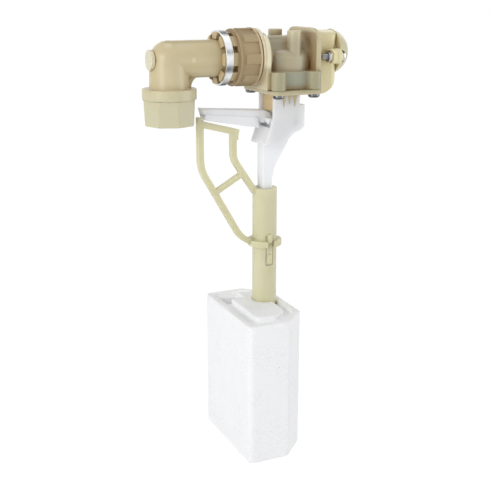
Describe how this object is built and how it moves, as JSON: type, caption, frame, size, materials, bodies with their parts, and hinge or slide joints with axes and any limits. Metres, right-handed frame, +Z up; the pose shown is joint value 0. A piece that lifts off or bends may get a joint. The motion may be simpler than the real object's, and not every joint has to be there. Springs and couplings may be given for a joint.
{
  "type": "float valve",
  "caption": "Pilot-operated float valve: threaded elbow, union nut, membrane valve, lever, and a foam block float that slides on a guide rod.",
  "frame": {"origin": "centre of the inlet mouth, in the plane of the threaded socket's rim", "axes": "+X along the level pipe towards the outlet, +Z up along the inlet's axis, out of the tank"},
  "size_m": [0.1474, 0.08, 0.2975],
  "materials": {
    "beige_plastic": "satin",
    "pale_plastic": "satin",
    "tan_plastic": "satin",
    "white_plastic": "satin",
    "cream_plastic": "satin",
    "foam": "matte",
    "steel": "polished",
    "brass": "satin",
    "rubber": "matte"
  },
  "bodies": {
    "elbow": {"inlet_elbow": "beige_plastic", "elbow_plug": "pale_plastic", "socket_gasket": "rubber", "inlet_strainer": "white_plastic", "spigot_oring": "rubber"},
    "union": {"union_nut": "tan_plastic", "clamp_band": "steel"},
    "valve": {"valve_body": "beige_plastic", "base_cover": "beige_plastic", "cover_screws": "steel", "diaphragm": "rubber", "disc_spring": "steel", "pilot_housing": "tan_plastic", "pilot_seat": "brass", "guide_bracket": "white_plastic", "lever_pin": "steel", "outlet_chamber": "beige_plastic", "chamber_gasket": "rubber", "outlet_flange": "beige_plastic", "outlet_oring": "rubber", "flange_bolts": "steel", "flange_nuts": "steel"},
    "disc": {"valve_disc": "white_plastic"},
    "plunger": {"pilot_plunger": "white_plastic", "plunger_seal": "rubber"},
    "lever": {"lever_arm": "white_plastic"},
    "float": {"carriage": "cream_plastic", "float_block": "foam", "float_retainer": "cream_plastic"}
  },
  "joints": [
    {"name": "union_spin", "type": "hinge", "parent": "elbow", "child": "union", "pos_m": [0.05, 0, 0.0425], "axis": [1, 0, 0], "continuous": true},
    {"name": "valve_swivel", "type": "hinge", "parent": "elbow", "child": "valve", "pos_m": [0.055, 0, 0.0425], "axis": [1, 0, 0], "range_deg": [-90, 90]},
    {"name": "float_slide", "type": "slide", "parent": "valve", "child": "float", "axis": [0, 0, 1], "range_m": [-0.008, 0]},
    {"name": "lever_tilt", "type": "hinge", "parent": "valve", "child": "lever", "pos_m": [0.088, 0, -0.001], "axis": [0, 1, 0], "range_deg": [-7.2, 0]},
    {"name": "plunger_slide", "type": "slide", "parent": "valve", "child": "plunger", "axis": [0, 0, 1], "range_m": [-0.0012, 0]},
    {"name": "disc_lift", "type": "slide", "parent": "valve", "child": "disc", "axis": [0, 0, 1], "range_m": [-0.0014, 0], "deforming": ["diaphragm", "disc_spring"]}
  ],
  "couplings": [
    {"joint": "lever_tilt", "follows": "float_slide", "rad_per_m": 15.2},
    {"joint": "plunger_slide", "follows": "float_slide", "ratio": 0.135},
    {"joint": "disc_lift", "follows": "float_slide", "ratio": 0.175}
  ]
}
